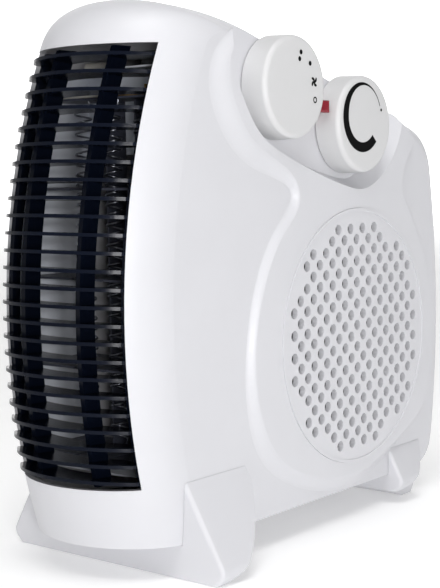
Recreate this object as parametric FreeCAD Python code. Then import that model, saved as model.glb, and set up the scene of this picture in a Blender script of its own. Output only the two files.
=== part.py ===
import FreeCAD, Part
import math
import os
from FreeCAD import Vector

os.makedirs("parts", exist_ok=True)

# Upright fan heater, in mm.
# The outlet faces -Y, the intake and the knobs face +X, and the feet stand on Z = 0.

# Casing
body_width = 88.0
body_bottom = 15.3          # clear height under the casing
wall = 2.4
front_y = -129.3            # foremost point of the casing
front_radius = 296.0        # bow of the front, seen from the side
front_height = 111.0        # height of the foremost point
dome_z = 250.8              # corner where the front meets the top
dome_radius = 26.0
crest_y = -53.7             # top edge turns down here
crest_z = 252.3
crest_radius = 140.0
top_fall = 0.305            # fall of the top edge towards the rear
rear_y = 130.8              # rearmost point of the casing
rear_radius = 410.0
rear_height = 100.0
rear_corner_radius = 23.0
rear_under_round = 13.0     # rounding under the rear edge
nose_depth = 37.5           # depth of the round front, seen from above
dome_edge_radius = 14.0     # the same corner on the flat sides
top_crown = 14.0
rear_crown = 3.5
front_rows = 36             # rows of points up the front, over the top and down the rear
top_counts = (3, 14, 3, 8, 14, 8, 4, 1)
rear_rows = 18
casing_columns = 25

# Raised panel on the knob side
panel_rise = 3.0
panel_root = 7.0            # depth of the panel inside the casing side
panel_centre_y = 40.5
panel_centre_z = 90.0
panel_radius = 79.5
panel_steps = 4

# Intake
intake_y = 44.6
intake_z = 92.6
intake_radius = 63.7
intake_lip = 3.0            # seat of the intake grille
grille_plate = 3.0
rim_width = 1.4
rim_rise = 0.6
hole_diameter = 5.2
hole_column = 10.7
hole_first_y = 28.3
hole_first_z = 103.3
hole_margin = 3.4

# Controls
knob_diameter = 48.0
knob_height = 13.1
knob_face_round = 2.4
knob_lift = 0.6             # gap under a knob
mode_y = -12.0
mode_z = 213.6
thermo_y = 45.8
thermo_z = 197.4
dish_depth = 9.0
dish_gap = 2.6              # gap round a knob
spindle_diameter = 6.0
spindle_hole = 9.0
spindle_reach = 9.0         # length of spindle inside a knob
running_gap = 0.05
control_width = 26.0
control_depth = 15.0
lens_length = 9.0
lens_height = 6.0
lens_stand = 9.6
lamp_diameter = 4.0
lamp_length = 10.0

# Outlet
outlet_half = 35.8
outlet_bottom = 42.2
outlet_top = 230.2
outlet_gap = 0.3
outlet_back = -75.0         # rear limit of the grille's side rails
fin_count = 25
fin_thick = 1.5
fin_depth = 18.0
fin_proud = 1.5
fin_tilt = 4.0
bar_x = 16.5
bar_width = 2.4

# Feet
foot_front = -87.0
foot_back = -54.0           # rear of the bar under the casing
foot_half = 66.0            # reach of a wing's tip
foot_top = 43.0
foot_tip = 5.0
foot_tip_round = 5.0
foot_toe = 6.0              # length of a wing's lower edge
foot_wing_back = -45.0      # where a wing's rear edge leaves the casing
foot_wing_low = 36.0
rear_foot_front = 77.0
rear_foot_back = 109.0
rear_foot_half = 53.8
rear_foot_top = 29.3
rear_foot_tip = 11.0
rear_foot_low = 6.6         # lower edge in front
rear_foot_wing_back = 109.0
rear_foot_wing_low = 31.0
rear_foot_sole = 9.0        # length of the part that stands on the floor
foot_bar_half = 41.0
foot_round = 2.0
foot_wall = 3.0
foot_clear = 0.2
foot_sink_gap = 0.5         # round a sunk screw head

# Fan and motor, on an axis along X through the intake centre
plate_face = -6.5           # fan side of the motor plate
plate_thick = 1.5
fan_radius = 52.0
fan_inner = 43.0
fan_back = 0.0              # motor side of the fan wheel
fan_width = 34.0
blade_count = 22
blade_thick = 1.4
scroll_radius = 66.0
scroll_thick = 1.6
scroll_top_z = 186.0
scroll_bottom_z = 44.0
shaft_diameter = 5.0
rotor_diameter = 22.0
rotor_gap = 0.4
stack_back = -31.0
stack_face = -15.0
stack_half = 24.0
bearing_boss = 14.0
post_radius = 4.5
post_circle = 60.0

# Heating element
duct_half = 37.5
duct_front_set = 24.0       # distance of the duct's mouth behind the casing front
duct_back = -56.0
duct_bottom = 44.0
duct_top = 222.0
duct_thick = 0.8
card_thick = 1.0
card_front = -98.0
card_back = -62.0
card_count = 5
card_low = 50.0
card_high = 208.0
coil_pitch_x = 18.0
coil_y = -79.7
board_set = 5.0             # front edge of a board behind the coils' axes
coil_diameter = 7.4         # to the middle of the wire
wire_diameter = 0.9
coil_curls = 33
coil_play = 0.5
strip_thick = 0.8
strip_tab = 4.6
cutout_x = 20.0
cutout_set = 14.0           # distance of the cut-out in front of the duct's back
cutout_height = 6.0
cutout_tab = 12.0
lead_diameter = 2.4
lead_set = 0.8              # the red lead in front of the coils' axes
sleeve_diameter = 3.2

# Fixings
screw_shank = 3.0
screw_head = 6.0
screw_head_thick = 2.0
boss_radius = 4.5
bush_diameter = 12.0
bush_flange = 17.0
bush_height = 36.0

# Worked out from the driving sizes
half = body_width / 2
lens_y = (mode_y + thermo_y) / 2
lens_z = (mode_z + thermo_z) / 2
board_x = coil_pitch_x / 2
board_slot_y = (coil_y + board_set + card_back) / 2
face_x = half + panel_rise
floor_x = face_x - dish_depth
inner_x = half - wall
back_x = floor_x - wall     # inside of the dish floor
front_centre_y = front_y + front_radius
rear_centre_y = rear_y - rear_radius
knob_face_x = floor_x + knob_lift + knob_height
foot_screw_seat = body_bottom - foot_clear - foot_wall


def box(x0, x1, y0, y1, z0, z1):
    """Block between two corners."""
    return Part.makeBox(x1 - x0, y1 - y0, z1 - z0, Vector(x0, y0, z0))


def rod_x(radius, x0, x1, y, z):
    """Cylinder along X."""
    return Part.makeCylinder(radius, x1 - x0, Vector(x0, y, z), Vector(1, 0, 0))


def rod_y(radius, y0, y1, x, z):
    """Cylinder along Y."""
    return Part.makeCylinder(radius, y1 - y0, Vector(x, y0, z), Vector(0, 1, 0))


def rod_z(radius, z0, z1, x, y):
    """Cylinder along Z."""
    return Part.makeCylinder(radius, z1 - z0, Vector(x, y, z0), Vector(0, 0, 1))


def ring_x(outer, inner, x0, x1, y, z):
    """Tube along X."""
    return rod_x(outer, x0, x1, y, z).cut(rod_x(inner, x0 - 1, x1 + 1, y, z))


def slab_x(points, x0, x1):
    """Polygon of (y, z) points, drawn out along X."""
    wire = Part.makePolygon([Vector(x0, y, z) for y, z in points + points[:1]])
    return Part.Face(wire).extrude(Vector(x1 - x0, 0, 0))


def smooth(low, high, value):
    """Blend from 0 at low to 1 at high, level at both ends."""
    t = min(1.0, max(0.0, (value - low) / (high - low)))
    return t * t * (3 - 2 * t)


def rounded_run(corners):
    """Lines and tangent arcs through (y, z, radius) corners in the plane X = 0."""
    points = [Vector(0, y, z) for y, z, r in corners]
    edges = []
    last = points[0]
    for i in range(1, len(points) - 1):
        into = (points[i] - points[i - 1]).normalize()
        out = (points[i + 1] - points[i]).normalize()
        turn = into.getAngle(out)
        reach = corners[i][2] * math.tan(turn / 2)
        start = points[i] - into * reach
        end = points[i] + out * reach
        inward = (out - into).normalize()
        middle = points[i] + inward * (corners[i][2] / math.cos(turn / 2) - corners[i][2])
        edges.append(Part.LineSegment(last, start).toShape())
        edges.append(Part.Arc(start, middle, end).toShape())
        last = end
    edges.append(Part.LineSegment(last, points[-1]).toShape())
    return edges


def bow_corner(centre_y, centre_z, radius, low, high, side):
    """Ends and tangent corner of an arc between two heights; side is -1 in front, 1 behind."""
    ends = []
    for z in (low, high):
        rise = z - centre_z
        run = math.sqrt(radius * radius - rise * rise)
        ends.append((centre_y + side * run, z, -side * rise / run))
    (y0, z0, s0), (y1, z1, s1) = ends
    z = (y1 - y0 + s0 * z0 - s1 * z1) / (s0 - s1)
    return (y0, z0), (y0 + s0 * (z - z0), z), (y1, z1, s1)


def meet(a, b, c, d):
    """Where the line through a and b crosses the line through c and d."""
    run = (b[0] - a[0], b[1] - a[1])
    other = (d[0] - c[0], d[1] - c[1])
    scale = run[0] * other[1] - run[1] * other[0]
    share = ((c[0] - a[0]) * other[1] - (c[1] - a[1]) * other[0]) / scale
    return (a[0] + run[0] * share, a[1] + run[1] * share)


def casing_run(nose, crown, tail_in, dome_round):
    """Side outline of the casing, set back in front, lowered on top and set forward behind."""
    front_high = dome_z - dome_radius
    lip, brow, cheek = bow_corner(front_centre_y, front_height, front_radius, body_bottom, front_high, -1)
    heel, tail, neck = bow_corner(rear_centre_y, rear_height, rear_radius, body_bottom, 1.6 * rear_height, 1)
    dome_y = cheek[0] + cheek[2] * dome_radius
    dome = meet((brow[0] + nose, brow[1]), (dome_y + nose, dome_z),
                (dome_y, dome_z - crown), (crest_y, crest_z - crown))
    rear_top = meet((neck[0] - tail_in, neck[1]), (neck[0] - tail_in + neck[2], neck[1] + 1),
                    (crest_y, crest_z - crown), (crest_y + 1, crest_z - crown - top_fall))
    corners = [(lip[0] + nose, lip[1], 0)]
    corners.append((brow[0] + nose, brow[1], front_radius))
    corners.append((dome[0], dome[1], dome_round))
    corners.append((crest_y + 0.7 * nose, crest_z - crown - 0.7 * nose * top_fall, crest_radius))
    corners.append((rear_top[0], rear_top[1], rear_corner_radius))
    corners.append((tail[0] - tail_in, tail[1], rear_radius))
    corners.append((heel[0] - tail_in, heel[1], 0))
    return rounded_run(corners)


def bow_point(centre_y, centre_z, radius, z, side):
    """Point at a height on an upright arc; side is -1 in front, 1 behind."""
    return Vector(0, centre_y + side * math.sqrt(radius ** 2 - (z - centre_z) ** 2), z)


def stations(edges, inset, nose, tail_in):
    """Points along an outline, moved in by the inset: front bow, top, rear bow, rounded lower edge."""
    top = []
    for edge, count in zip(edges[2:], top_counts):
        for i in range(count):
            at = edge.FirstParameter + (edge.LastParameter - edge.FirstParameter) * i / count
            ahead = edge.tangentAt(at)
            top.append(edge.valueAt(at) + Vector(0, ahead.z, -ahead.y) * inset)
    bottom = body_bottom + inset
    corner = rear_under_round - inset
    points = []
    for i in range(front_rows):
        z = bottom + (top[0].z - bottom) * i / front_rows
        points.append(bow_point(front_centre_y + nose, front_height, front_radius - inset, z, -1))
    points += top[:-1]
    for i in range(rear_rows):
        z = top[-1].z + (bottom + corner - top[-1].z) * i / rear_rows
        points.append(bow_point(rear_centre_y - tail_in, rear_height, rear_radius - inset, z, 1))
    for i in range(7):
        turn = math.pi / 12 * i
        z = bottom + corner * (1 - math.sin(turn))
        place = bow_point(rear_centre_y - tail_in, rear_height, rear_radius - inset, z, 1)
        points.append(place - Vector(0, corner * (1 - math.cos(turn)), 0))
    return points


def casing_sections(inset, widen):
    """Rows of points across the casing, each on a half oval between the outline and the flat sides.

    x = a sin(t)^(2/n), and the point moves from the outline to the side edge by 1 - cos(t)^(2/n).
    """
    ridge = stations(casing_run(0.0, 0.0, 0.0, dome_radius), inset, 0.0, 0.0)
    side_run = casing_run(nose_depth, top_crown, rear_crown, dome_edge_radius)
    edge = stations(side_run, inset, nose_depth, rear_crown)
    rows = []
    for middle, side in zip(ridge, edge):
        power = 2 + smooth(0.72 * rear_y, rear_y, middle.y)
        row = []
        for j in range(casing_columns):
            t = math.pi * (j / (casing_columns - 1) - 0.5)
            x = (half - inset + widen) * math.copysign(abs(math.sin(t)) ** (2 / power), math.sin(t))
            share = 1 - max(0.0, math.cos(t)) ** (2 / power)
            point = middle + (side - middle) * share
            row.append(Vector(x, point.y, point.z))
        rows.append(row)
    return rows


def casing_solid(inset, widen=0.0):
    """Closed casing form: one smooth rim, two flat sides and a flat bottom."""
    rows = casing_sections(inset, widen)
    knots = [[float(i) for i in range(count - 2)] for count in (len(rows), len(rows[0]))]
    repeats = [[4] + [1] * (len(k) - 2) + [4] for k in knots]
    surface = Part.BSplineSurface()
    surface.buildFromPolesMultsKnots(rows, repeats[0], repeats[1], knots[0], knots[1], False, False, 3, 3)
    rim = surface.toShape()
    reach = half - inset + widen
    side_edges = {1: [], -1: []}
    end_edges = []
    for edge in rim.Edges:
        xs = [v.Point.x for v in edge.Vertexes]
        if min(xs) > reach - 0.01:
            side_edges[1].append(edge)
        elif max(xs) < 0.01 - reach:
            side_edges[-1].append(edge)
        else:
            end_edges.append(edge)
    faces = [rim]
    closers = []
    for sign in (1, -1):
        edge = side_edges[sign][0]
        ends = [v.Point for v in edge.Vertexes]
        closer = Part.LineSegment(ends[0], ends[1]).toShape()
        closers.append(closer)
        faces.append(Part.Face(Part.Wire(Part.__sortEdges__([edge, closer]))))
    faces.append(Part.Face(Part.Wire(Part.__sortEdges__(end_edges + closers))))
    shell = Part.Shell(faces)
    shell.sewShape()
    solid = Part.Solid(shell)
    if solid.Volume < 0:
        solid.reverse()
    return solid


def pace(points):
    """Distances along a closed outline, from 0 to 1, shared by all the sections of a form."""
    steps = []
    for i, point in enumerate(points):
        after = points[(i + 1) % len(points)]
        steps.append(math.sqrt(math.hypot(after[0] - point[0], after[1] - point[1])))
    marks = [0.0]
    for step in steps:
        marks.append(marks[-1] + step / sum(steps))
    return marks


def closed_curve(points, x, marks):
    """Smooth closed curve through (y, z) points in a plane across X."""
    curve = Part.BSplineCurve()
    curve.interpolate(Points=[Vector(x, y, z) for y, z in points], Parameters=marks, PeriodicFlag=True)
    return Part.Wire(curve.toShape())


def spread(points, share):
    """Move each (y, z, width) point outwards by a share of its width."""
    moved = []
    count = len(points)
    for i, (y, z, width) in enumerate(points):
        before = points[i - 1]
        after = points[(i + 1) % count]
        dy = after[0] - before[0]
        dz = after[1] - before[1]
        size = math.hypot(dy, dz)
        moved.append((y + dz / size * width * share, z - dy / size * width * share))
    return moved


def top_line(y):
    """Height of the side's top edge."""
    return crest_z - top_crown * 0.64 - top_fall * (y - crest_y)


def panel_outline():
    """Keyhole outline of the raised panel as (y, z, slope width), anticlockwise seen from +X."""
    def on_circle(angle, width):
        turn = math.radians(angle)
        y = panel_centre_y + panel_radius * math.cos(turn)
        return (y, panel_centre_z + panel_radius * math.sin(turn), width)

    neck = intake_z + intake_radius + 7
    low = intake_z - intake_radius - 5
    points = [(mode_y - 39, top_line(mode_y - 39) - 13, 6)]
    points.append((mode_y - 42, mode_z + 2, 12))
    points.append((mode_y - 30, mode_z - 21, 11))
    points.append((mode_y - 10, mode_z - 33, 8))
    points.append((mode_y + 6, neck + 7, 4))
    points.append((mode_y + 8, neck - 4, 4))
    points.append((mode_y - 3, neck - 16, 4))
    points.append(on_circle(150, 4))
    points.append(on_circle(180, 4))
    points.append(on_circle(210, 8))
    points.append((intake_y - 46, low + 7, 7))
    points.append((intake_y, low, 7))
    points.append((intake_y + 42, low + 12, 4))
    points.append(on_circle(330, 2))
    points.append(on_circle(353, 2))
    points.append(on_circle(15, 2))
    points.append(on_circle(35, 2))
    points.append((thermo_y + 49, neck - 10, 2))
    points.append((thermo_y + 42, neck, 2))
    points.append((thermo_y + 42.5, neck + 7, 2))
    points.append((thermo_y + 47, neck + 17, 2))
    points.append((thermo_y + 54, neck + 25, 2))
    points.append((thermo_y + 51, top_line(thermo_y + 51) - 4, 2))
    points.append((thermo_y + 15, top_line(thermo_y + 15), 2))
    points.append((mode_y + 14, top_line(mode_y + 14), 2))
    points.append((mode_y - 26, top_line(mode_y - 26) - 3, 3))
    return points


def panel_solid():
    """Raised panel with a soft edge, deep enough to run into the casing wall."""
    points = panel_outline()
    marks = pace(points)
    foot = spread(points, 1.0)
    root_x = half - panel_root
    root = Part.makeLoft([closed_curve(foot, root_x, marks), closed_curve(foot, half, marks)], True, True)
    rise = []
    for i in range(panel_steps + 1):
        share = i / panel_steps
        level = half + panel_rise * smooth(0, 1, share)
        rise.append(closed_curve(spread(points, 1 - share), level, marks))
    top = [(y, z) for y, z, width in points]
    cap = Part.makeLoft([closed_curve(top, face_x, marks), closed_curve(top, face_x + 2, marks)], True, True)
    raised = root.fuse(Part.makeLoft(rise, True, False)).fuse(cap)
    return raised.common(box(root_x - 1, face_x, -half * 4, half * 4, 0, crest_z))


def dish_outline():
    """Outline of the knob dish at its floor as (y, z, slope width), anticlockwise seen from +X."""
    reach = knob_diameter / 2 + dish_gap

    def round_knob(y, z, angle, width):
        turn = math.radians(angle)
        return (y + reach * math.cos(turn), z + reach * math.sin(turn), width)

    above = crest_z + 16
    points = [(mode_y - reach - 3, above, 13)]
    points.append((mode_y - reach - 2, mode_z + 18, 11))
    points.append(round_knob(mode_y, mode_z, 185, 8))
    points.append(round_knob(mode_y, mode_z, 215, 4))
    points.append(round_knob(mode_y, mode_z, 250, 3))
    points.append(round_knob(thermo_y, thermo_z, 258, 5))
    points.append(round_knob(thermo_y, thermo_z, 288, 6))
    points.append(round_knob(thermo_y, thermo_z, 318, 8))
    points.append(round_knob(thermo_y, thermo_z, 355, 14))
    points.append((thermo_y + reach + 2, thermo_z + 30, 17))
    points.append((thermo_y + reach + 2, above, 17))
    return points


def dish_solid(grow, depth_x):
    """Bowl of the dish, grown outwards, from its floor to past the panel face."""
    points = dish_outline()
    marks = pace(points)
    floor = spread([(y, z, grow) for y, z, width in points], 1.0)
    brim = spread([(y, z, width + grow) for y, z, width in points], 1.0)
    bowl = [closed_curve(floor, depth_x, marks), closed_curve(brim, face_x, marks)]
    bowl.append(closed_curve(brim, face_x + dish_depth, marks))
    return Part.makeLoft(bowl, True, True)


def shell_bosses():
    """Places of the casing screws."""
    low = body_bottom + wall + boss_radius + 3
    places = [(foot_back + 18, low)]
    places.append((rear_foot_back - 10, low + 6))
    places.append((rear_y - 16, rear_height + 47))
    places.append((crest_y + 2, crest_z - 19))
    return places


def post_places():
    """Places of the motor plate's posts round the fan axis."""
    step = post_circle * math.sqrt(0.5)
    return [(intake_y + i * step, intake_z + j * step) for i in (-1, 1) for j in (-1, 1)]


outer = casing_solid(0.0)
cavity = casing_solid(wall)
span_y = rear_y - front_y + 100
span_z = crest_z + 100
mid_y = (front_y + rear_y) / 2
right_side = box(0, face_x + 50, mid_y - span_y / 2, mid_y + span_y / 2, -50, span_z)
left_side = box(-half - 50, 0, mid_y - span_y / 2, mid_y + span_y / 2, -50, span_z)


def outlet_mouth():
    """Opening for the outlet grille."""
    return box(-outlet_half, outlet_half, front_y - 10, outlet_back + outlet_gap, outlet_bottom, outlet_top)


def duct_ribs(side):
    """Ribs inside a shell that carry the heater duct."""
    ribs = None
    for z in (duct_bottom + 30, duct_top - 44):
        x0 = min(side * duct_half, side * (inner_x + 0.5))
        x1 = max(side * duct_half, side * (inner_x + 0.5))
        rib = box(x0, x1, card_front + 8, duct_back - 4, z, z + 2)
        ribs = rib if ribs is None else ribs.fuse(rib)
    return ribs


def screw_bore(shape, places, radius, x0, x1):
    """Cut a hole along X at each place."""
    for y, z in places:
        shape = shape.cut(rod_x(radius, x0, x1, y, z))
    return shape


def bush_bore():
    """Hole for the cord bush through the rear wall."""
    return rod_y(bush_diameter / 2, rear_y - 40, rear_y + 10, 0, bush_height)


def foot_screw_places():
    """Places of the screws that hold the feet, as (x, y)."""
    y_front = (foot_front + foot_back) / 2
    y_rear = rear_foot_back - 4 - rear_foot_sole / 2
    return [(x, y) for y in (y_front, y_rear) for x in (-24.0, 24.0)]


def foot_screw_holes(shape):
    """Clear the foot screws through the casing bottom."""
    for x, y in foot_screw_places():
        shape = shape.cut(rod_z(screw_shank / 2, body_bottom - 1, body_bottom + wall + 1, x, y))
    return shape


def right_shell():
    """Casing half with the raised panel, knob dish and intake."""
    skin = outer.fuse(panel_solid())
    backing = dish_solid(wall, back_x)
    shape = skin.cut(dish_solid(0.0, floor_x))
    shape = shape.cut(cavity.cut(backing))
    shape = shape.common(right_side)
    shape = shape.cut(outlet_mouth()).cut(bush_bore())
    shape = shape.cut(rod_x(intake_radius - intake_lip, inner_x - 10, face_x + 5, intake_y, intake_z))
    shape = shape.cut(rod_x(intake_radius, face_x - grille_plate, face_x + 5, intake_y, intake_z))
    for y, z in ((mode_y, mode_z), (thermo_y, thermo_z)):
        shape = shape.cut(rod_x(spindle_hole / 2, back_x - 5, floor_x + 5, y, z))
    shape = shape.cut(lens_block(0.0, back_x - 5, floor_x + 3))
    for y, z in shell_bosses():
        boss = rod_x(boss_radius, 0, inner_x + 0.5, y, z)
        shape = shape.fuse(boss).cut(rod_x(screw_shank / 2, -1, 14, y, z))
    shape = shape.fuse(duct_ribs(1))
    return foot_screw_holes(shape).removeSplitter()


def left_shell():
    """Casing half on the flat side, with the motor posts."""
    shape = outer.cut(cavity).common(left_side)
    shape = shape.cut(outlet_mouth()).cut(bush_bore())
    for y, z in shell_bosses():
        boss = rod_x(boss_radius, -inner_x - 0.5, 0, y, z)
        shape = shape.fuse(boss)
        shape = shape.cut(rod_x(screw_shank / 2, -40, 1, y, z))
        shape = shape.cut(rod_x(screw_head / 2 + 0.2, -half - 1, -10, y, z))
    for y, z in post_places():
        post = rod_x(post_radius, -inner_x - 0.5, plate_face - plate_thick, y, z)
        shape = shape.fuse(post)
    shape = screw_bore(shape, post_places(), screw_shank / 2, plate_face - plate_thick - 12, plate_face)
    shape = shape.fuse(duct_ribs(-1))
    return foot_screw_holes(shape).removeSplitter()


def front_line(z):
    """Foremost point of the casing at a height."""
    return front_centre_y - math.sqrt(front_radius ** 2 - (z - front_height) ** 2)


def oval_face(proud, depth, reach, z):
    """Plan of one fin: an oval front edge and the same edge set back by a depth."""
    front = []
    steps = 24
    for i in range(steps + 1):
        x = reach * (2 * i / steps - 1)
        dip = nose_depth * (1 - math.sqrt(1 - (x / half) ** 2))
        front.append(Vector(x, front_line(z) - proud + dip, z))
    curve = Part.BSplineCurve()
    curve.interpolate(Points=front)
    edge = curve.toShape()
    shift = Vector(0, depth, 0)
    back = edge.copy()
    back.translate(shift)
    left = Part.LineSegment(front[0], front[0] + shift).toShape()
    right = Part.LineSegment(front[-1], front[-1] + shift).toShape()
    return Part.Face(Part.Wire(Part.__sortEdges__([edge, right, back, left])))


def fin_heights():
    """Middle heights of the outlet fins."""
    low = outlet_bottom + 4
    high = outlet_top - 4
    return [low + (high - low) * i / (fin_count - 1) for i in range(fin_count)]


def outlet_grille():
    """Bowed fins on two uprights and two end rails, in one piece."""
    reach = outlet_half - outlet_gap
    parts = []
    for z in fin_heights():
        fin = oval_face(fin_proud, fin_depth, reach, z - fin_thick / 2).extrude(Vector(0, 0, fin_thick))
        fin.rotate(Vector(0, front_line(z), z), Vector(1, 0, 0), -fin_tilt)
        behind = rod_x(front_radius - duct_front_set + 2, -half, half, front_centre_y, front_height)
        parts.append(fin.cut(behind))
    low = outlet_bottom + outlet_gap
    high = outlet_top - outlet_gap
    axis = Vector(0, front_centre_y, front_height)
    rails = [(x - bar_width / 2, x + bar_width / 2, 0.45, 0.95) for x in (-bar_x, bar_x)]
    rails += [(-reach, -reach + bar_width, 0.95, 1.2), (reach - bar_width, reach, 0.95, 1.2)]
    for x0, x1, near, far in rails:
        radius = front_radius - near * fin_depth
        inner = front_radius - far * fin_depth
        rail = rod_x(radius, x0, x1, axis.y, axis.z).cut(rod_x(inner, x0 - 1, x1 + 1, axis.y, axis.z))
        parts.append(rail.common(box(x0 - 1, x1 + 1, front_y - 5, outlet_back, low, high)))
    return parts[0].multiFuse(parts[1:]).removeSplitter()


def intake_grille():
    """Round plate with a slanted pattern of holes and a raised rim."""
    fit = 0.1
    x0 = face_x - grille_plate
    plate = rod_x(intake_radius - fit, x0, face_x, intake_y, intake_z)
    rim = ring_x(intake_radius - fit, intake_radius - fit - rim_width, face_x, face_x + rim_rise,
                 intake_y, intake_z)
    holes = []
    reach = intake_radius - hole_margin - hole_diameter / 2
    rows = int(2 * reach / hole_column) * 2 + 4
    for j in range(-rows, rows + 1):
        for i in range(-rows, rows + 1):
            y = hole_first_y + hole_column * (i + 0.5 * (j % 2))
            z = hole_first_z + hole_column / 2 * j
            if math.hypot(y - intake_y, z - intake_z) < reach:
                holes.append(rod_x(hole_diameter / 2, x0 - 1, face_x + 1, y, z))
    return plate.fuse(rim).removeSplitter().cut(Part.makeCompound(holes))


def foot_wing(front, top, reach, tip, floor, back, low):
    """Pair of flared wings: a slanted outer face, cut off behind by a curve that runs to the tip."""
    root = foot_bar_half - 6
    flare = [(root, top), (half, top), (reach, tip), (reach - foot_tip_round, floor), (root, floor)]
    fall = Part.BezierCurve()
    fall.setPoles([Vector(0, back, low), Vector(0, back - 0.3 * (back - front), 0.62 * tip + 0.2 * low),
                   Vector(0, front + foot_toe, floor)])
    edges = [fall.toShape()]
    high = max(top, low) + 1
    run = [Vector(0, front + foot_toe, floor), Vector(0, front, floor), Vector(0, front, high),
           Vector(0, back, high), Vector(0, back, low)]
    edges += [Part.LineSegment(a, b).toShape() for a, b in zip(run, run[1:])]
    side = Part.Face(Part.Wire(Part.__sortEdges__(edges)))
    side.translate(Vector(-reach - 1, 0, 0))
    side = side.extrude(Vector(2 * reach + 2, 0, 0))
    wings = []
    for sign in (1, -1):
        outline = [Vector(sign * x, front, z) for x, z in flare]
        wing = Part.Face(Part.makePolygon(outline + outline[:1])).extrude(Vector(0, back - front, 0))
        tips = [e for e in wing.Edges if abs(e.BoundBox.Center.x) > reach - 0.1]
        wing = wing.makeFillet(foot_tip_round, tips)
        crease = [e for e in wing.Edges if e.BoundBox.YMax < front + 0.01 and e.BoundBox.ZLength > 1
                  and abs(e.BoundBox.Center.x) > half]
        wing = wing.makeFillet(foot_round, crease)
        wings.append(wing.common(side))
    return wings


def front_foot():
    """Front foot: a bar across under the casing with a flared wing up each side."""
    bar = slab_x([(foot_front, foot_top), (foot_front, 0), (foot_back - 4, 0), (foot_back, 4),
                  (foot_back, foot_top)], -foot_bar_half, foot_bar_half)
    wings = foot_wing(foot_front, foot_top, foot_half, foot_tip, 0.0, foot_wing_back, foot_wing_low)
    return foot_finish(bar.multiFuse(wings).removeSplitter())


def rear_foot():
    """Rear foot: a bar with a sloping sole and a flared wing up each side."""
    sole = rear_foot_back - 4
    bar = slab_x([(rear_foot_front, rear_foot_top), (rear_foot_front, rear_foot_low),
                  (sole - rear_foot_sole, 0), (sole, 0), (rear_foot_back, 6),
                  (rear_foot_back, rear_foot_top)], -foot_bar_half, foot_bar_half)
    wings = foot_wing(rear_foot_front, rear_foot_top, rear_foot_half, rear_foot_tip, rear_foot_low,
                      rear_foot_wing_back, rear_foot_wing_low)
    return foot_finish(bar.multiFuse(wings).removeSplitter())


def foot_finish(block):
    """Cut the casing's place and the sunk screw holes out of a foot."""
    block = block.cut(casing_solid(-foot_clear)).cut(panel_solid())
    for x, y in foot_screw_places():
        block = block.cut(rod_z(screw_shank / 2, -1, body_bottom, x, y))
        block = block.cut(rod_z(screw_head / 2 + foot_sink_gap, -1, foot_screw_seat, x, y))
    return max(block.Solids, key=lambda s: s.Volume)


def knob(y, z):
    """Round knob with a softly rounded face and a blind bore for its spindle."""
    x0 = floor_x + knob_lift
    body = Part.makeCone(knob_diameter / 2, knob_diameter / 2 - 0.5, knob_height, Vector(x0, y, z),
                         Vector(1, 0, 0))
    face = [e for e in body.Edges if e.BoundBox.XMin > knob_face_x - 0.01]
    body = body.makeFillet(knob_face_round, face)
    hollow = ring_x(knob_diameter / 2 - 2.2, spindle_hole / 2 + 1.5, x0 - 1, knob_face_x - 3, y, z)
    body = body.cut(hollow)
    return body.cut(rod_x(spindle_diameter / 2, x0 - 1, x0 + spindle_reach, y, z))


def spindle(y, z):
    """Spindle of a rotary control, from inside its body into the knob."""
    x0 = back_x - control_depth + 3
    return rod_x(spindle_diameter / 2, x0, floor_x + knob_lift + spindle_reach, y, z)


def control_bore(y, z):
    """Running bore and thrust seat for a spindle in its control body."""
    x0 = back_x - control_depth + 3
    return rod_x(spindle_diameter / 2 + running_gap, x0, back_x + 1, y, z)


def switch_body():
    """Rotary switch behind the mode knob, with its terminal tabs."""
    w = control_width / 2
    body = box(back_x - control_depth, back_x, mode_y - w, mode_y + w, mode_z - w, mode_z + w - 4)
    body = body.cut(control_bore(mode_y, mode_z))
    for i in range(4):
        y = mode_y - w + 4 + i * (control_width - 8) / 3
        tab = box(back_x - control_depth - 7, back_x - control_depth, y - 0.4, y + 0.4,
                  mode_z - 9, mode_z - 4)
        body = body.fuse(tab)
    return body.removeSplitter()


def thermostat_body():
    """Ceramic block of the thermostat."""
    w = control_width / 2
    body = box(back_x - control_depth + 2, back_x, thermo_y - w, thermo_y + w, thermo_z - w, thermo_z + w - 9)
    return body.cut(control_bore(thermo_y, thermo_z))


def bimetal_blade():
    """Bimetal strip lying on the thermostat block."""
    w = control_width / 2
    x1 = back_x - control_depth + 2
    strip = box(x1 - 0.6, x1, thermo_y - w - 10, thermo_y + w - 4, thermo_z - w + 2, thermo_z - w + 8)
    lug = box(x1 - 3, x1 - 0.6, thermo_y + w - 10, thermo_y + w - 4, thermo_z - w + 2, thermo_z - w + 8)
    return strip.fuse(lug).removeSplitter()


def lens_block(grow, x0, x1):
    """Body of the indicator lens between two depths."""
    y0 = lens_y - lens_length / 2 - grow
    z0 = lens_z - lens_height / 2 - grow
    return box(x0, x1, y0, y0 + lens_length + 2 * grow, z0, z0 + lens_height + 2 * grow)


def indicator_lens():
    """Red lens standing on the dish floor, with a flange behind it."""
    top = lens_block(0.0, back_x, floor_x + lens_stand)
    rounds = [e for e in top.Edges if e.BoundBox.XMin > floor_x + lens_stand - 0.01]
    top = top.makeFillet(1.2, rounds)
    flange = lens_block(1.2, back_x - 1.2, back_x)
    bore = rod_x(lamp_diameter / 2 + 0.05, back_x - 2, back_x - 1.2 + lamp_length, lens_y, lens_z)
    return top.fuse(flange).removeSplitter().cut(bore)


def neon_lamp():
    """Small glass lamp inside the lens."""
    tip = back_x - 1.2 + lamp_length
    lamp = rod_x(lamp_diameter / 2, tip - lamp_length - 3, tip - lamp_diameter / 2, lens_y, lens_z)
    end = Part.makeSphere(lamp_diameter / 2, Vector(tip - lamp_diameter / 2, lens_y, lens_z))
    return lamp.fuse(end).removeSplitter()


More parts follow.
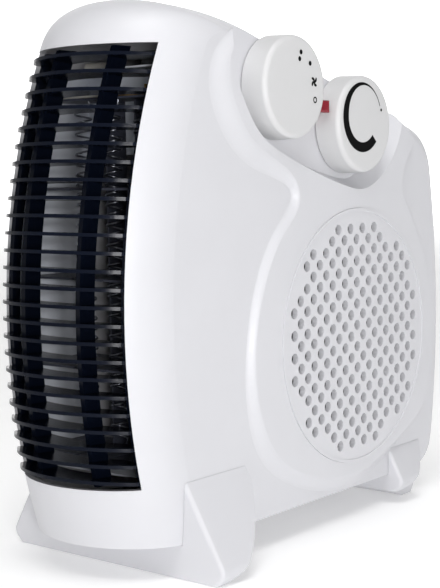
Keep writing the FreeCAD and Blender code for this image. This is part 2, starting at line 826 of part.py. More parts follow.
def motor_plate():
    """Sheet that closes the fan chamber and carries the motor."""
    x0 = plate_face - plate_thick
    disc = rod_x(scroll_radius + 4, x0, plate_face, intake_y, intake_z)
    run = slab_x([(intake_y, intake_z - scroll_radius - 3), (duct_back, scroll_bottom_z - 6),
                  (duct_back, scroll_top_z + 6), (intake_y, intake_z + scroll_radius + 3)], x0, plate_face)
    plate = disc.fuse(run).removeSplitter()
    plate = plate.cut(rod_x(shaft_diameter / 2 + 1.5, x0 - 1, plate_face + 1, intake_y, intake_z))
    plate = screw_bore(plate, post_places(), screw_shank / 2, x0 - 1, plate_face + 1)
    return screw_bore(plate, motor_screw_places(), screw_shank / 2, x0 - 1, plate_face + 1)


def motor_screw_places():
    """Places of the two long motor screws."""
    reach = rotor_diameter / 2 + 7.5
    return [(intake_y - reach, intake_z), (intake_y, intake_z + reach)]


def stator_stack():
    """Laminated iron of the motor: the rotor tunnel and the leg that the coil sits on."""
    y0 = intake_y - stack_half
    y1 = intake_y + 2 * stack_half
    stack = box(stack_back, stack_face, y0, y1, intake_z - stack_half, intake_z + stack_half)
    window = box(stack_back - 1, stack_face + 1, intake_y + stack_half - 2, y1 - 9,
                 intake_z - stack_half + 10, intake_z + stack_half - 10)
    tunnel = rod_x(rotor_diameter / 2 + rotor_gap, stack_back - 1, stack_face + 1, intake_y, intake_z)
    stack = stack.cut(window).cut(tunnel)
    return screw_bore(stack, motor_screw_places(), screw_shank / 2, stack_back - 1, stack_face + 1)


def motor_coil():
    """Taped winding round the leg of the stack."""
    y1 = intake_y + 2 * stack_half
    gap = 0.2
    z0 = intake_z - stack_half + 10 + gap
    z1 = intake_z + stack_half - 10 - gap
    coil = box(stack_back - 6, stack_face + 5.8, y1 - 16, y1 + 7, z0, z1)
    coil = coil.makeFillet(3.0, [e for e in coil.Edges if e.BoundBox.ZLength > 10])
    return coil.cut(box(stack_back - gap, stack_face + gap, y1 - 9 - gap, y1 + gap, z0 - 1, z1 + 1))


def motor_bracket(x0, x1, boss0, boss1):
    """Cross strip with a bearing boss; the strip and the boss each span their own depths."""
    reach = rotor_diameter / 2 + 12
    strip = box(x0, x1, intake_y - reach, intake_y + reach, intake_z - 7, intake_z + 7)
    strip = strip.fuse(box(x0, x1, intake_y - 7, intake_y + 7, intake_z, intake_z + reach))
    strip = strip.fuse(rod_x(bearing_boss / 2, boss0, boss1, intake_y, intake_z)).removeSplitter()
    bore = shaft_diameter / 2 + running_gap
    strip = strip.cut(rod_x(bore, boss0 - 1, boss1 + 1, intake_y, intake_z))
    return screw_bore(strip, motor_screw_places(), screw_shank / 2, x0 - 1, x1 + 1)


def rotor_shaft():
    """Motor shaft with its rotor."""
    shaft = rod_x(shaft_diameter / 2, stack_back - 7, fan_back + 13, intake_y, intake_z)
    rotor = rod_x(rotor_diameter / 2, stack_back + 0.4, stack_face - 0.4, intake_y, intake_z)
    return shaft.fuse(rotor).removeSplitter()


def impeller():
    """Fan wheel: a back plate, a ring of curved blades and a front ring."""
    plate = rod_x(fan_radius, fan_back, fan_back + 1.6, intake_y, intake_z)
    ring = ring_x(fan_radius, fan_inner + 2, fan_back + fan_width - 1.6, fan_back + fan_width,
                  intake_y, intake_z)
    hub = rod_x(shaft_diameter / 2 + 4, fan_back - 3.5, fan_back + 10, intake_y, intake_z)
    blades = []
    chord = fan_radius - fan_inner
    for i in range(blade_count):
        outer_arc = ring_x(chord, chord - blade_thick, fan_back + 1.0, fan_back + fan_width - 1.0,
                           intake_y, intake_z + fan_inner - 0.2)
        piece = outer_arc.common(box(fan_back, fan_back + fan_width, intake_y, intake_y + chord + 1,
                                     intake_z + fan_inner, intake_z + fan_radius - 0.3))
        piece.rotate(Vector(0, intake_y, intake_z), Vector(1, 0, 0), 360.0 * i / blade_count)
        blades.append(piece)
    wheel = plate.multiFuse([hub, ring] + blades).removeSplitter()
    return wheel.cut(rod_x(shaft_diameter / 2, fan_back - 5, fan_back + 14, intake_y, intake_z))


def impeller_clip():
    """Spring nut that holds the fan wheel on the shaft."""
    return ring_x(shaft_diameter / 2 + 3, shaft_diameter / 2, fan_back + 10, fan_back + 12, intake_y, intake_z)


def fan_scroll():
    """Wall round the fan that leads the air to the heating element."""
    x0 = plate_face
    x1 = inner_x - 0.2
    ring = ring_x(scroll_radius + scroll_thick, scroll_radius, x0, x1, intake_y, intake_z)
    ring = ring.cut(box(x0 - 1, x1 + 1, intake_y - 2 * scroll_radius, intake_y,
                        intake_z - 2 * scroll_radius, intake_z + 2 * scroll_radius))
    t = scroll_thick
    y_end = duct_back + 0.2
    upper = slab_x([(intake_y, intake_z + scroll_radius), (y_end, scroll_top_z - t),
                    (y_end, scroll_top_z), (intake_y, intake_z + scroll_radius + t)], x0, x1)
    lower = slab_x([(intake_y, intake_z - scroll_radius - t), (y_end, scroll_bottom_z),
                    (y_end, scroll_bottom_z + t), (intake_y, intake_z - scroll_radius)], x0, x1)
    return ring.fuse(upper).fuse(lower).removeSplitter()


def duct_front(shape):
    """Trim a piece of the element to the bow of the outlet."""
    return shape.common(rod_x(front_radius - duct_front_set, -half, half, front_centre_y, front_height))


def heater_duct():
    """Bright sheet-metal sleeve round the heating element, open to the front and partly to the rear."""
    t = duct_thick
    outside = box(-duct_half, duct_half, front_y, duct_back, duct_bottom, duct_top)
    inside = box(-duct_half + t, duct_half - t, front_y - 1, duct_back - t, duct_bottom + t, duct_top - t)
    back = box(-duct_half + t, duct_half - t, duct_back - t - 1, duct_back + 1,
               scroll_bottom_z + 2, scroll_top_z - 2)
    sleeve = duct_front(outside.cut(inside).cut(back))
    return sleeve.cut(rod_z(lead_diameter / 2 + 0.3, duct_top - 3, duct_top + 3,
                            cutout_x + cutout_tab - 2, coil_y - lead_set))


def card_heights():
    """Heights of the cross cards."""
    return [card_low + (card_high - card_low) * i / (card_count - 1) for i in range(card_count)]


def coil_xs():
    """Sideways places of the three coils."""
    return [-coil_pitch_x, 0.0, coil_pitch_x]


def mica_card(z, solid_end):
    """Mica card across the duct, with a hole for each coil and slots for the boards."""
    reach = duct_half - duct_thick - 0.1
    card = box(-reach, reach, card_front, card_back, z, z + card_thick)
    bore = wire_diameter / 2 + 0.05 if solid_end else (coil_diameter + wire_diameter) / 2 + coil_play
    for x in coil_xs():
        spot = x + coil_diameter / 2 if solid_end else x
        card = card.cut(rod_z(bore, z - 1, z + card_thick + 1, spot, coil_y))
    for x in (-board_x, board_x):
        slot = card_thick / 2 + 0.05
        card = card.cut(box(x - slot, x + slot, card_front - 1, board_slot_y, z - 1, z + card_thick + 1))
    return duct_front(card)


def mica_board(x):
    """Upright mica board between two coils, slotted over the cards."""
    t = card_thick / 2
    board = box(x - t, x + t, coil_y + board_set, card_back, card_low, card_high + card_thick)
    for z in card_heights():
        board = board.cut(box(x - 2, x + 2, board_slot_y, card_back + 1, z - 0.05, z + card_thick + 0.05))
    return board


def biarc(p0, t0, p1, t1):
    """Two tangent arcs from p0 along t0 to p1 along t1."""
    v = p1 - p0
    t = t0 + t1
    a = 2 * (1 - t0.dot(t1))
    b = 2 * v.dot(t)
    c = -v.dot(v)
    if abs(a) < 1e-9:
        d = -c / b
    else:
        d = (-b + math.sqrt(b * b - 4 * a * c)) / (2 * a)
    q0 = p0 + t0 * d
    q1 = p1 - t1 * d
    joint = (q0 + q1) * 0.5
    arcs = []
    for start, corner, end in ((p0, q0, joint), (joint, q1, p1)):
        chord_mid = (start + end) * 0.5
        axis = corner - chord_mid
        half_chord = (end - start).Length / 2
        height = axis.Length
        sagitta = half_chord * half_chord * (math.sqrt(1 + (height / half_chord) ** 2) - 1) / height
        arcs.append(Part.Arc(start, chord_mid + axis * (sagitta / height), end).toShape())
    return arcs


def heating_coil(x):
    """Open resistance coil on an upright axis: one wire with straight ends through the end cards."""
    radius = coil_diameter / 2
    z0 = card_low + card_thick + 4
    z1 = card_high - 4
    pitch = (z1 - z0) / coil_curls
    slope = pitch / (2 * math.pi)
    size = math.hypot(radius, slope)

    def place(turns):
        angle = 2 * math.pi * turns
        return Vector(x + radius * math.cos(angle), coil_y + radius * math.sin(angle), z0 + pitch * turns)

    def heading(turns):
        angle = 2 * math.pi * turns
        return Vector(-radius * math.sin(angle), radius * math.cos(angle), slope) * (1 / size)

    up = Vector(0, 0, 1)
    foot = Vector(x + radius, coil_y, card_low - 3)
    knee = Vector(x + radius, coil_y, card_low + card_thick + wire_diameter)
    first = 0.25
    edges = [Part.LineSegment(foot, knee).toShape()]
    edges += biarc(knee, up, place(first), heading(first))
    steps = 2 * coil_curls - 1
    for i in range(steps):
        a = first + i * 0.5
        edges += biarc(place(a), heading(a), place(a + 0.5), heading(a + 0.5))
    last = first + steps * 0.5
    hip = Vector(x + radius, coil_y, card_high - wire_diameter)
    head = Vector(x + radius, coil_y, card_high + card_thick + 3)
    edges += biarc(place(last), heading(last), hip, up)
    edges.append(Part.LineSegment(hip, head).toShape())
    path = Part.Wire(edges)
    ring = Part.Wire(Part.makeCircle(wire_diameter / 2, foot, up))
    tube = Part.BRepOffsetAPI.MakePipeShell(path)
    tube.add(ring)
    tube.build()
    tube.makeSolid()
    solid = Part.Solid(tube.shape()) if tube.shape().ShapeType != "Solid" else tube.shape()
    print("coil", "gap between curls", round(pitch - wire_diameter, 3), "length", round(path.Length, 1),
          "volume", round(solid.Volume, 2), "expected",
          round(path.Length * math.pi * wire_diameter ** 2 / 4, 2))
    return solid


def element_terminal(z, up):
    """Strip that joins the coil ends on an end card, with a tab standing off the card."""
    x0 = -coil_pitch_x + coil_diameter / 2 - 3
    x1 = coil_pitch_x + coil_diameter / 2 + 3
    strip = box(x0, x1, coil_y - 3, coil_y + 3, z, z + strip_thick)
    low = z if up else z + strip_thick - strip_tab
    strip = strip.fuse(box(x1 - strip_thick, x1, coil_y - 5, coil_y, low, low + strip_tab)).removeSplitter()
    for x in coil_xs():
        strip = strip.cut(rod_z(wire_diameter / 2 + 0.05, z - 1, z + 2, x + coil_diameter / 2, coil_y))
    return strip


def thermal_cutout():
    """Round cut-out with two tabs, on the duct's top."""
    y = duct_back - cutout_set
    body = rod_z(8.0, duct_top, duct_top + cutout_height, cutout_x, y)
    tabs = box(cutout_x - cutout_tab, cutout_x + cutout_tab, y - 3, y + 3,
               duct_top + cutout_height, duct_top + cutout_height + 0.8)
    return body.fuse(tabs).removeSplitter()


def thermal_fuse():
    """Fuse in a sleeve lying on the duct's top."""
    return rod_x(2.0, -26, -4, duct_back - 12, duct_top + 2.0)


def terminal_block():
    """Terminal block on the flat shell, behind the foot of the duct."""
    x0 = -inner_x
    y0 = foot_back + 30
    block = box(x0, x0 + 14, y0, y0 + 22, body_bottom + wall, body_bottom + wall + 13)
    for i in range(3):
        y = y0 + 4 + i * 7
        block = block.cut(rod_z(2.0, body_bottom + wall + 5, body_bottom + wall + 20, x0 + 7, y))
    return block


def bent_tube(points, radius, bend):
    """Round wire along straight runs joined by tangent arcs."""
    edges = []
    last = points[0]
    for i in range(1, len(points) - 1):
        into = (points[i] - points[i - 1]).normalize()
        out = (points[i + 1] - points[i]).normalize()
        turn = into.getAngle(out)
        reach = bend * math.tan(turn / 2)
        start = points[i] - into * reach
        end = points[i] + out * reach
        inward = (out - into).normalize()
        middle = points[i] + inward * (bend / math.cos(turn / 2) - bend)
        edges.append(Part.LineSegment(last, start).toShape())
        edges.append(Part.Arc(start, middle, end).toShape())
        last = end
    edges.append(Part.LineSegment(last, points[-1]).toShape())
    path = Part.Wire(edges)
    ring = Part.Wire(Part.makeCircle(radius, points[0], points[1] - points[0]))
    tube = Part.BRepOffsetAPI.MakePipeShell(path)
    tube.add(ring)
    tube.build()
    tube.makeSolid()
    return tube.shape()


def red_lead():
    """Red lead from a tab of the cut-out through the duct's top to the upper strip."""
    x1 = cutout_x + cutout_tab - 2
    y0 = duct_back - cutout_set - 3
    y1 = coil_y - lead_set
    z0 = duct_top + cutout_height + 0.4
    z1 = card_high + card_thick + strip_tab - 2
    x0 = coil_pitch_x + coil_diameter / 2 + 3
    points = [Vector(x1, y0, z0), Vector(x1, y1, z0), Vector(x1, y1, z1), Vector(x0, y1, z1)]
    return bent_tube(points, lead_diameter / 2, 3.0)


def sleeved_lead():
    """White glass-fibre sleeve lying on the top card, near its front edge."""
    return rod_x(sleeve_diameter / 2, -24, 6, coil_y - 8, card_high + card_thick + sleeve_diameter / 2)


def screw_x(y, z, head_x, tip_x):
    """Screw along X with its head towards -X."""
    head = rod_x(screw_head / 2, head_x - screw_head_thick, head_x, y, z)
    return head.fuse(rod_x(screw_shank / 2, head_x, tip_x, y, z)).removeSplitter()


def plate_screw(y, z):
    """Screw that holds the motor plate on a post."""
    head = rod_x(screw_head / 2, plate_face, plate_face + screw_head_thick, y, z)
    shank = rod_x(screw_shank / 2, plate_face - plate_thick - 10, plate_face, y, z)
    return head.fuse(shank).removeSplitter()


def foot_screw(x, y):
    """Screw up through a foot into the casing bottom."""
    top = foot_screw_seat
    head = rod_z(screw_head / 2, top - screw_head_thick, top, x, y)
    return head.fuse(rod_z(screw_shank / 2, top, body_bottom + wall + 4, x, y)).removeSplitter()


def cord_bush():
    """Rubber bush in the rear wall, closed by a thin web."""
    rise = bush_height - rear_height
    y = rear_centre_y + math.sqrt(rear_radius ** 2 - rise ** 2)
    neck = rod_y(bush_diameter / 2, y - 7, y + 2.5, 0, bush_height)
    outer_flange = rod_y(bush_flange / 2, y + 0.5, y + 3, 0, bush_height)
    bore = rod_y(3.6, y - 5, y + 10, 0, bush_height)
    bush = neck.fuse(outer_flange.cut(outer)).removeSplitter()
    return bush.cut(bore)


def build():
    """Every piece of the heater by name."""
    pieces = {"right_shell": right_shell(), "left_shell": left_shell()}
    pieces["outlet_grille"] = outlet_grille()
    pieces["intake_grille"] = intake_grille()
    pieces["front_foot"] = front_foot()
    pieces["rear_foot"] = rear_foot()
    pieces["mode_knob"] = knob(mode_y, mode_z)
    pieces["thermostat_knob"] = knob(thermo_y, thermo_z)
    pieces["mode_spindle"] = spindle(mode_y, mode_z)
    pieces["thermostat_spindle"] = spindle(thermo_y, thermo_z)
    pieces["switch_body"] = switch_body()
    pieces["thermostat_body"] = thermostat_body()
    pieces["bimetal_blade"] = bimetal_blade()
    pieces["indicator_lens"] = indicator_lens()
    pieces["neon_lamp"] = neon_lamp()
    pieces["motor_plate"] = motor_plate()
    pieces["stator_stack"] = stator_stack()
    pieces["motor_coil"] = motor_coil()
    pieces["motor_bracket_front"] = motor_bracket(stack_face, stack_face + 3, stack_face,
                                                  plate_face - plate_thick)
    pieces["motor_bracket_rear"] = motor_bracket(stack_back - 3, stack_back, stack_back - 6, stack_back)
    pieces["rotor_shaft"] = rotor_shaft()
    pieces["impeller"] = impeller()
    pieces["impeller_clip"] = impeller_clip()
    pieces["fan_scroll"] = fan_scroll()
    pieces["heater_duct"] = heater_duct()
    heights = card_heights()
    for i, z in enumerate(heights):
        pieces["mica_card_%d" % (i + 1)] = mica_card(z, i in (0, card_count - 1))
    for i, x in enumerate((-board_x, board_x)):
        pieces["mica_board_%d" % (i + 1)] = mica_board(x)
    for i, x in enumerate(coil_xs()):
        pieces["heating_coil_%d" % (i + 1)] = heating_coil(x)
    pieces["element_strip_top"] = element_terminal(card_high + card_thick, True)
    pieces["element_strip_bottom"] = element_terminal(card_low - strip_thick, False)
    pieces["thermal_cutout"] = thermal_cutout()
    pieces["thermal_fuse"] = thermal_fuse()
    pieces["terminal_block"] = terminal_block()
    pieces["red_lead"] = red_lead()
    pieces["sleeved_lead"] = sleeved_lead()
    pieces["cord_bush"] = cord_bush()
    for i, (y, z) in enumerate(shell_bosses()):
        pieces["casing_screw_%d" % (i + 1)] = screw_x(y, z, -10, 12)
    for i, (y, z) in enumerate(post_places()):
        pieces["plate_screw_%d" % (i + 1)] = plate_screw(y, z)
    for i, (y, z) in enumerate(motor_screw_places()):
        pieces["motor_screw_%d" % (i + 1)] = screw_x(y, z, stack_back - 3, plate_face + 1)
    for i, (x, y) in enumerate(foot_screw_places()):
        pieces["foot_screw_%d" % (i + 1)] = foot_screw(x, y)
    return pieces


for name, shape in build().items():
    shape.exportStep("parts/%s.step" % name)
    box_size = shape.BoundBox
    print(name, shape.isValid(), len(shape.Solids), round(shape.Volume, 1),
          [round(v, 1) for v in (box_size.XMin, box_size.XMax, box_size.YMin, box_size.YMax,
                                 box_size.ZMin, box_size.ZMax)])
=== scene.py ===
"""Fan heater on a pale floor: finishes for the solid pieces, prints on the dials, studio and camera."""
import logging
import math
from dataclasses import dataclass, field
from enum import Enum
from typing import Callable, Iterable

import bpy
import numpy as np
from mathutils import Matrix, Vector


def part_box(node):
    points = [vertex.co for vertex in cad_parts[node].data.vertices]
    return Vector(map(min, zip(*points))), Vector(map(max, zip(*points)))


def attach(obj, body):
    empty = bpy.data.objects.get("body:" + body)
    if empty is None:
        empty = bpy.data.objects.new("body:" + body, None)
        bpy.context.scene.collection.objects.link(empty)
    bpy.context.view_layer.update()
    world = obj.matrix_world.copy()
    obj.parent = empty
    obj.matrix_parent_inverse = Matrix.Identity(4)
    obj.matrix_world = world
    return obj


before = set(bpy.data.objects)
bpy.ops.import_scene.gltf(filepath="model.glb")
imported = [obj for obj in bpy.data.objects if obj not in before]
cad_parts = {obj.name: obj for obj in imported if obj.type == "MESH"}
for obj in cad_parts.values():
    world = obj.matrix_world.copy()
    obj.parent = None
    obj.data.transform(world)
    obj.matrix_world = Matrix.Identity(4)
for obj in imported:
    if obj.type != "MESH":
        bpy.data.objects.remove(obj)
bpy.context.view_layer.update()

MM = 0.001
GLOSS_SPREAD = 0.12  # share by which the roughness varies
MARK_LIFT = 0.05  # mm of ink above a dial's face
MARK_CENTRE = 0.02  # mm left open in the middle of a filled mark
MARK_ROWS = 6  # points across a mark
SENSOR = 36.0  # mm
FLOOR_LEVEL = -0.2  # mm
FLOOR_REACH = 12.0  # m
SCREEN_AWAY = 3.2  # m
SCREEN_HALF = 2.2  # m
SCREEN_TOP = 2.6  # m
SURROUND = 0.36
log = logging.getLogger("heater")


class Grain(Enum):
    """Small surface relief of a finish."""

    NONE = "none"
    MOULDED = "moulded"
    BRUSHED = "brushed"
    FLAKED = "flaked"
    WOVEN = "woven"


STRETCH = {Grain.BRUSHED: (1.0, 1.0, 0.05), Grain.FLAKED: (1.0, 0.3, 1.0)}


def linear(hex_colour: str) -> tuple[float, float, float, float]:
    """Turn an sRGB hex colour into linear RGBA.

    Args:
        hex_colour: Colour such as "#D8D8DC".

    Returns:
        Linear red, green, blue and alpha.
    """
    code = hex_colour.lstrip("#")
    values = [int(code[i:i + 2], 16) / 255 for i in (0, 2, 4)]
    flat = [v / 12.92 if v <= 0.04045 else ((v + 0.055) / 1.055) ** 2.4 for v in values]
    return (flat[0], flat[1], flat[2], 1.0)


def add_node(tree: bpy.types.NodeTree, kind: str, **settings) -> bpy.types.Node:
    """Add a shader node and set its properties or input values.

    Args:
        tree: Node tree of the material.
        kind: Node type.
        settings: Property names, or input names with underscores for spaces.

    Returns:
        The new node.
    """
    node = tree.nodes.new(kind)
    for name, value in settings.items():
        if hasattr(node, name):
            setattr(node, name, value)
        else:
            node.inputs[name.replace("_", " ")].default_value = value
    return node


@dataclass(frozen=True)
class Finish:
    """A real surface: colour, gloss, relief and small unevenness.

    Attributes:
        name: Name of the real material.
        colour: sRGB hex colour.
        shade: Second sRGB hex colour that the unevenness runs to.
        roughness: Micro roughness.
        metallic: 1 for bare metal.
        grain: Kind of relief.
        grain_mm: Size of the relief.
        relief: Strength of the relief.
        patch_mm: Size of the uneven patches.
        transmission: Share of light let through.
        glow: Strength of its own light.
        shine: Strength of the mirror-like part of a non-metal.
    """

    name: str
    colour: str
    shade: str
    roughness: float
    metallic: float = 0.0
    grain: Grain = Grain.MOULDED
    grain_mm: float = 0.6
    relief: float = 0.04
    patch_mm: float = 35.0
    transmission: float = 0.0
    glow: float = 0.0
    shine: float = 0.5

    def material(self) -> bpy.types.Material:
        """Make the material, or find it if it is there already.

        Returns:
            The material.
        """
        title = f"{self.name}_finish"
        found = bpy.data.materials.get(title)
        if found:
            return found
        made = bpy.data.materials.new(title)
        made.use_nodes = True
        tree = made.node_tree
        shader = tree.nodes["Principled BSDF"]
        shader.inputs["Metallic"].default_value = self.metallic
        shader.inputs["Specular IOR Level"].default_value = self.shine
        shader.inputs["Transmission Weight"].default_value = self.transmission
        shader.inputs["Emission Color"].default_value = linear(self.colour)
        shader.inputs["Emission Strength"].default_value = self.glow
        place = add_node(tree, "ShaderNodeTexCoord")
        patches = add_node(tree, "ShaderNodeTexNoise", Scale=1 / (self.patch_mm * MM), Detail=3.0)
        tree.links.new(place.outputs["Object"], patches.inputs["Vector"])
        blend = add_node(tree, "ShaderNodeMix", data_type="RGBA")
        colour_in = [s for s in blend.inputs if s.type == "RGBA"]
        colour_in[0].default_value = linear(self.colour)
        colour_in[1].default_value = linear(self.shade)
        tree.links.new(patches.outputs["Fac"], blend.inputs["Factor"])
        mixed = [s for s in blend.outputs if s.type == "RGBA"][0]
        tree.links.new(mixed, shader.inputs["Base Color"])
        gloss = add_node(tree, "ShaderNodeMapRange")
        gloss.inputs["To Min"].default_value = self.roughness * (1 - GLOSS_SPREAD)
        gloss.inputs["To Max"].default_value = min(1.0, self.roughness * (1 + GLOSS_SPREAD))
        tree.links.new(patches.outputs["Fac"], gloss.inputs["Value"])
        tree.links.new(gloss.outputs["Result"], shader.inputs["Roughness"])
        self.add_relief(tree, shader, place)
        return made

    def add_relief(self, tree: bpy.types.NodeTree, shader: bpy.types.Node, place: bpy.types.Node) -> None:
        """Give the shader its fine relief.

        Args:
            tree: Node tree of the material.
            shader: Principled shader.
            place: Texture coordinate node.
        """
        if self.grain is Grain.NONE:
            return
        turn = add_node(tree, "ShaderNodeMapping", Scale=STRETCH.get(self.grain, (1.0, 1.0, 1.0)))
        tree.links.new(place.outputs["Object"], turn.inputs["Vector"])
        if self.grain is Grain.WOVEN:
            pattern = add_node(tree, "ShaderNodeTexVoronoi", Scale=1 / (self.grain_mm * MM))
            height = pattern.outputs["Distance"]
        else:
            pattern = add_node(tree, "ShaderNodeTexNoise", Scale=1 / (self.grain_mm * MM), Detail=2.0)
            height = pattern.outputs["Fac"]
        tree.links.new(turn.outputs["Vector"], pattern.inputs["Vector"])
        bump = add_node(tree, "ShaderNodeBump", Strength=self.relief, Distance=self.grain_mm * MM)
        tree.links.new(height, bump.inputs["Height"])
        tree.links.new(bump.outputs["Normal"], shader.inputs["Normal"])


WHITE_ABS = Finish("white_abs", "#D3D3D7", "#CDCDD1", 0.42)
KNOB_ABS = Finish("knob_abs", "#D2D2D3", "#CCCCCD", 0.46)
BLACK_PC = Finish("black_polycarbonate", "#0C1220", "#080C16", 0.22, grain_mm=2.0, relief=0.03, shine=0.12)
DARK_ABS = Finish("dark_abs", "#2B2C30", "#232428", 0.5)
RED_LENS = Finish("red_acrylic", "#A30D28", "#840A20", 0.1, grain=Grain.NONE, transmission=0.25)
LAMP_GLASS = Finish("lamp_glass", "#E8C9B0", "#DDB79A", 0.05, grain=Grain.NONE, transmission=0.9)
# Mica boards darkened to blue-grey: painted shade of the deep duct behind the fins, darker than pale mica itself
MICA_PAINTED_SHADE = Finish("mica_sheet", "#4E515F", "#3F424F", 0.5, grain=Grain.FLAKED, grain_mm=3.0, relief=0.2)
NICHROME = Finish("nichrome_wire", "#A9ABB4", "#8D8F99", 0.28, metallic=1.0, grain=Grain.BRUSHED)
STEEL = Finish("zinc_steel", "#A9ABAE", "#95979B", 0.3, metallic=1.0, grain=Grain.BRUSHED, grain_mm=0.8)
BRIGHT = Finish("bright_aluminised_sheet", "#EEF1F8", "#DFE4EE", 0.45, metallic=0.1, grain=Grain.BRUSHED)
BRASS = Finish("brass_strip", "#C9A55A", "#B38F48", 0.3, metallic=1.0, grain=Grain.BRUSHED)
SLEEVE = Finish("glass_fibre_sleeve", "#E9E7E0", "#D5D2C8", 0.7, grain=Grain.WOVEN, grain_mm=0.7, relief=0.4)
CERAMIC = Finish("steatite", "#E6E1D6", "#D9D2C4", 0.55)
RED_SILICONE = Finish("red_silicone", "#B3141C", "#990F17", 0.35)
RUBBER = Finish("bush_rubber", "#D2D2D5", "#C6C6CA", 0.6)
BLACK_INK = Finish("black_ink", "#060607", "#0A0A0B", 0.8, grain_mm=0.3, shine=0.1)
WHITE_SCREEN = Finish("white_screen", "#FFFFFF", "#FDFDFD", 0.8, patch_mm=400.0, glow=0.9)
PALE_FLOOR = Finish("pale_floor", "#FFFFFF", "#FDFDFD", 0.7, grain_mm=4.0, relief=0.01, patch_mm=400.0,
                    glow=0.18)


def nodes_named(*stems: str) -> list[bpy.types.Object]:
    """Find the solid pieces whose names start with one of the stems.

    Args:
        stems: Starts of names.

    Returns:
        The pieces.
    """
    return [obj for name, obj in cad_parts.items() if name.startswith(stems)]


def paint(objects: Iterable[bpy.types.Object], finish: Finish) -> None:
    """Give each object one finish.

    Args:
        objects: Pieces to paint.
        finish: Their surface.
    """
    made = finish.material()
    for obj in objects:
        obj.data.materials.clear()
        obj.data.materials.append(made)
        log.info("%s: %s", obj.name, finish.name)


def surface(name: str, points: np.ndarray) -> bpy.types.Object:
    """Make a mesh from a grid of points.

    Args:
        name: Object name.
        points: Array (rows, columns, 3) in metres, in the row frame.

    Returns:
        The new object.
    """
    rows, cols, _ = points.shape
    index = np.arange(rows * cols).reshape(rows, cols)
    index, ahead = index[:-1], index[1:]
    quads = np.stack([index[:, :-1], index[:, 1:], ahead[:, 1:], ahead[:, :-1]], axis=-1).reshape(-1, 4)
    mesh = bpy.data.meshes.new(name)
    mesh.from_pydata(points.reshape(-1, 3).tolist(), [], quads.tolist())
    mesh.polygons.foreach_set("use_smooth", np.ones(len(mesh.polygons), dtype=bool))
    mesh.update()
    obj = bpy.data.objects.new(name, mesh)
    bpy.context.scene.collection.objects.link(obj)
    return obj


Outline = Callable[[np.ndarray], tuple[np.ndarray, np.ndarray]]


@dataclass
class Casing:
    """White shells, feet and grilles."""

    white: Finish = WHITE_ABS
    grille: Finish = BLACK_PC
    bush: Finish = RUBBER

    def dress(self) -> None:
        """Paint the outside of the heater."""
        paint(nodes_named("right_shell", "left_shell", "front_foot", "rear_foot", "intake_grille"), self.white)
        paint(nodes_named("outlet_grille"), self.grille)
        paint(nodes_named("cord_bush"), self.bush)


@dataclass
class Print:
    """A flat mark on a dial's face.

    Attributes:
        name: Object name.
        across: Place along Y from the dial's axis, in mm.
        up: Place along Z from the dial's axis, in mm.
        outline: Function from angle to (inner radius, outer radius) in mm, about the place.
        start: First angle in degrees.
        end: Last angle in degrees.
        steps: Number of points along the mark.
        twist: Turn in radians per mm of radius, for swept blades.
    """

    name: str
    across: float
    up: float
    outline: Outline
    start: float = 0.0
    end: float = 360.0
    steps: int = 96
    twist: float = 0.0

    def build(self, centre: tuple[float, float], face: float) -> bpy.types.Object:
        """Make the mark just above the face.

        A point at angle t and share s is y = cy + r cos(t + k r), z = cz + r sin(t + k r), with
        r = a(t) + s (b(t) - a(t)) and the twist k.

        Args:
            centre: Y and Z of the dial's axis, in metres.
            face: X of the dial's face, in metres.

        Returns:
            The mark.
        """
        angle = np.radians(np.linspace(self.start, self.end, self.steps))
        inner, outer = self.outline(angle)
        share = np.linspace(0.0, 1.0, MARK_ROWS)
        radius = inner[:, None] + share[None, :] * (outer - inner)[:, None]
        turned = angle[:, None] + self.twist * radius
        y = centre[0] + (self.across + radius * np.cos(turned)) * MM
        z = centre[1] + (self.up + radius * np.sin(turned)) * MM
        x = np.full_like(y, face + MARK_LIFT * MM)
        return surface(self.name, np.stack([x, y, z], axis=-1))


def disc(radius: float) -> Outline:
    """Outline of a filled circle.

    Args:
        radius: Radius in mm.

    Returns:
        The outline function.
    """
    return lambda t: (np.full_like(t, MARK_CENTRE), np.full_like(t, radius))


def hoop(inner: float, outer: float) -> Outline:
    """Outline of a ring.

    Args:
        inner: Inner radius in mm.
        outer: Outer radius in mm.

    Returns:
        The outline function.
    """
    return lambda t: (np.full_like(t, inner), np.full_like(t, outer))


def petals(count: int, radius: float) -> Outline:
    """Outline of a little fan: r = R (0.22 + 0.78 |cos(n t / 2)|^1.2).

    Args:
        count: Number of blades.
        radius: Reach of a blade in mm.

    Returns:
        The outline function.
    """
    hub, bend = 0.22, 1.2

    def edges(t: np.ndarray) -> tuple[np.ndarray, np.ndarray]:
        reach = hub + (1 - hub) * np.abs(np.cos(count * t / 2)) ** bend
        return np.full_like(t, MARK_CENTRE), radius * reach
    return edges


def wedge(outer: float, thin: float, thick: float) -> Outline:
    """Outline of an arc that grows thicker.

    The width is thin + (thick - thin) (3 u^2 - 2 u^3), with u = (s / 0.55)^1.4, at most 1, at the share s.

    Args:
        outer: Outer radius in mm.
        thin: Width at the start in mm.
        thick: Width at the end in mm.

    Returns:
        The outline function.
    """
    full_at, bend = 0.55, 1.4

    def edges(t: np.ndarray) -> tuple[np.ndarray, np.ndarray]:
        share = (t - t[0]) / (t[-1] - t[0])
        grown = np.clip(share / full_at, 0.0, 1.0) ** bend
        width = thin + (thick - thin) * (3 * grown ** 2 - 2 * grown ** 3)
        return outer - width, np.full_like(t, outer)
    return edges


